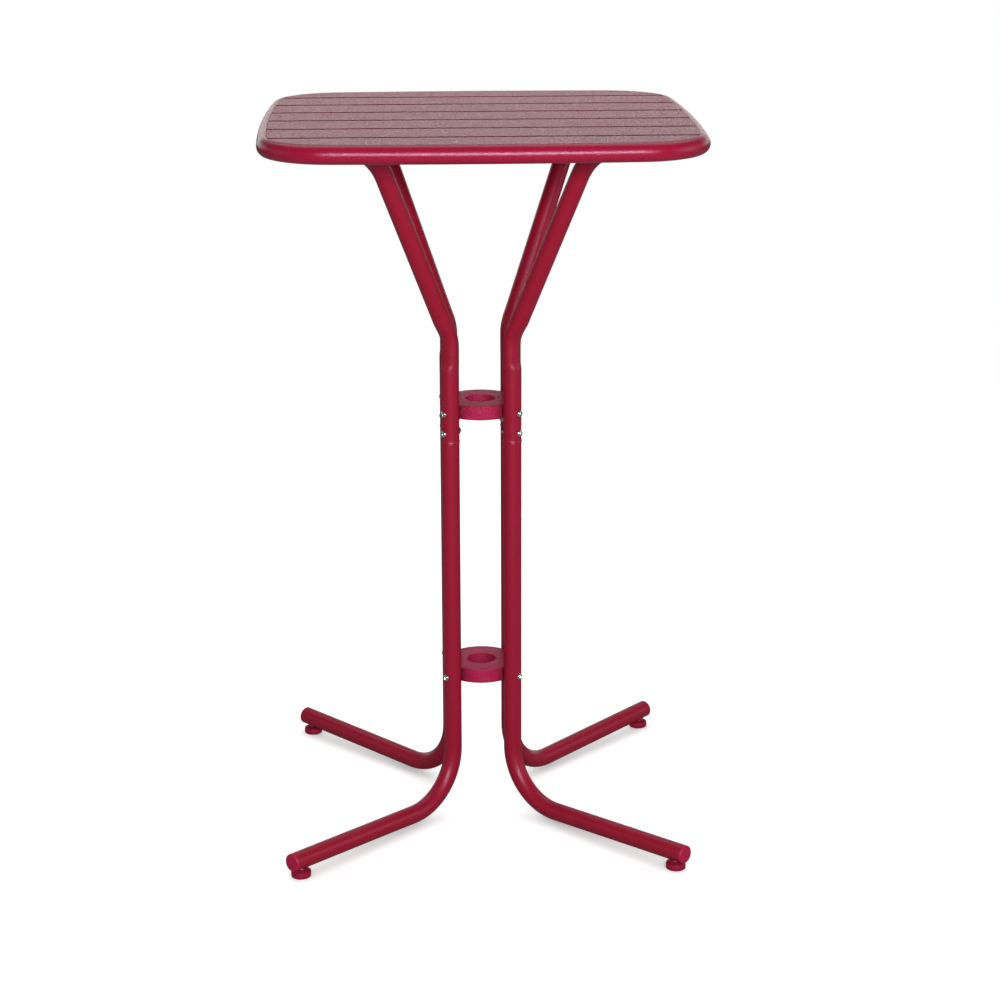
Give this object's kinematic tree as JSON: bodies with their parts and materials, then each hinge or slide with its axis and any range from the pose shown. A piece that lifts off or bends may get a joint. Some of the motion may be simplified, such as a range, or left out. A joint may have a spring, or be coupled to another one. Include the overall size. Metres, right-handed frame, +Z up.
{
  "type": "bar table",
  "caption": "Tall square bar table: a slatted top in a bowed bull-nosed rim on bent tube legs that are held by spacer rings and end in levelling feet.",
  "frame": {"origin": "on the floor, under the middle of the top", "axes": "+Z up, slats along X, -Y is the front"},
  "size_m": [0.65, 0.65, 1.1],
  "materials": {
    "red_powder_coat": "fine-textured satin powder coat on aluminium",
    "stainless_steel": "bright",
    "red_plastic": "satin"
  },
  "bodies": {
    "table": {"top_rim": "red_powder_coat", "slat_1": "red_powder_coat", "slat_2": "red_powder_coat", "slat_3": "red_powder_coat", "slat_4": "red_powder_coat", "slat_5": "red_powder_coat", "slat_6": "red_powder_coat", "slat_7": "red_powder_coat", "cross_rail_left": "red_powder_coat", "cross_rail_right": "red_powder_coat", "upper_leg_front_left": "red_powder_coat", "upper_leg_front_right": "red_powder_coat", "upper_leg_back_right": "red_powder_coat", "upper_leg_back_left": "red_powder_coat", "lower_leg_front_left": "red_powder_coat", "lower_leg_front_right": "red_powder_coat", "lower_leg_back_right": "red_powder_coat", "lower_leg_back_left": "red_powder_coat", "upper_ring": "red_powder_coat", "lower_ring": "red_powder_coat", "slat_screws": "stainless_steel", "rim_screws": "stainless_steel", "upper_ring_screws": "stainless_steel", "lower_ring_screws": "stainless_steel", "joint_bolts": "stainless_steel", "joint_nuts": "stainless_steel", "arm_bolts": "stainless_steel", "arm_nuts": "stainless_steel", "foot_insert_front_left": "stainless_steel", "foot_insert_front_right": "stainless_steel", "foot_insert_back_right": "stainless_steel", "foot_insert_back_left": "stainless_steel", "foot_cap_front_left": "red_plastic", "foot_cap_front_right": "red_plastic", "foot_cap_back_right": "red_plastic", "foot_cap_back_left": "red_plastic"},
    "levelling_foot_front_left": {"glide_pad_front_left": "red_plastic", "glide_stud_front_left": "stainless_steel"},
    "levelling_foot_front_right": {"glide_pad_front_right": "red_plastic", "glide_stud_front_right": "stainless_steel"},
    "levelling_foot_back_right": {"glide_pad_back_right": "red_plastic", "glide_stud_back_right": "stainless_steel"},
    "levelling_foot_back_left": {"glide_pad_back_left": "red_plastic", "glide_stud_back_left": "stainless_steel"}
  },
  "joints": [
    {"name": "level_front_left", "type": "slide", "parent": "table", "child": "levelling_foot_front_left", "axis": [0, 0, -1], "range_m": [-0.001, 0.01]},
    {"name": "level_front_right", "type": "slide", "parent": "table", "child": "levelling_foot_front_right", "axis": [0, 0, -1], "range_m": [-0.001, 0.01]},
    {"name": "level_back_right", "type": "slide", "parent": "table", "child": "levelling_foot_back_right", "axis": [0, 0, -1], "range_m": [-0.001, 0.01]},
    {"name": "level_back_left", "type": "slide", "parent": "table", "child": "levelling_foot_back_left", "axis": [0, 0, -1], "range_m": [-0.001, 0.01]}
  ]
}
